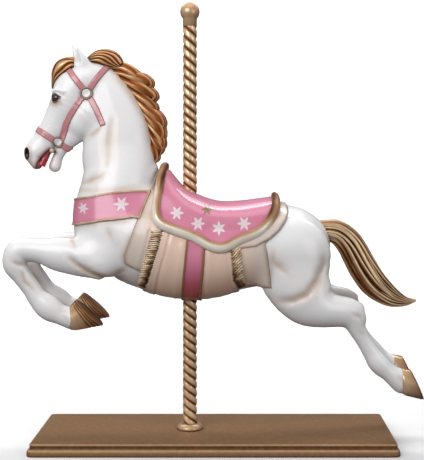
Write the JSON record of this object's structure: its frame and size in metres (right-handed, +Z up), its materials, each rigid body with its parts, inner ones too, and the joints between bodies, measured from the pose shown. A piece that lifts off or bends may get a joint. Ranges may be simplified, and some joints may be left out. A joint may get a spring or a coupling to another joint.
{
  "type": "carousel horse",
  "caption": "Jumping carousel horse with saddle, blanket and bridle, carried on a twisted pole that stands in a moulded base plate.",
  "frame": {"origin": "on the pole's axis, at the underside of the base", "axes": "+Z up along the pole; the horse faces -X; +Y is its right side"},
  "size_m": [1.4281, 0.405, 1.519],
  "materials": {
    "white_glaze": "glossy white painted resin, shaded grey and washed beige in the hollows",
    "saddle_pink": "glossy rose paint",
    "blanket_beige": "satin beige pink paint with an antique wash",
    "hair_gold": "antiqued gold paint, dark brown in the grooves",
    "trim_gold": "bright antiqued gold paint",
    "eye_dark": "dark brown gloss paint",
    "mouth_red": "deep red gloss paint",
    "old_gold": "antiqued gold paint on steel",
    "base_gold": "satin bronze paint"
  },
  "bodies": {
    "root": {"horse": "white_glaze", "pole": "old_gold", "ball_finial": "old_gold", "foot_collar": "old_gold", "base": "base_gold"}
  },
  "joints": []
}
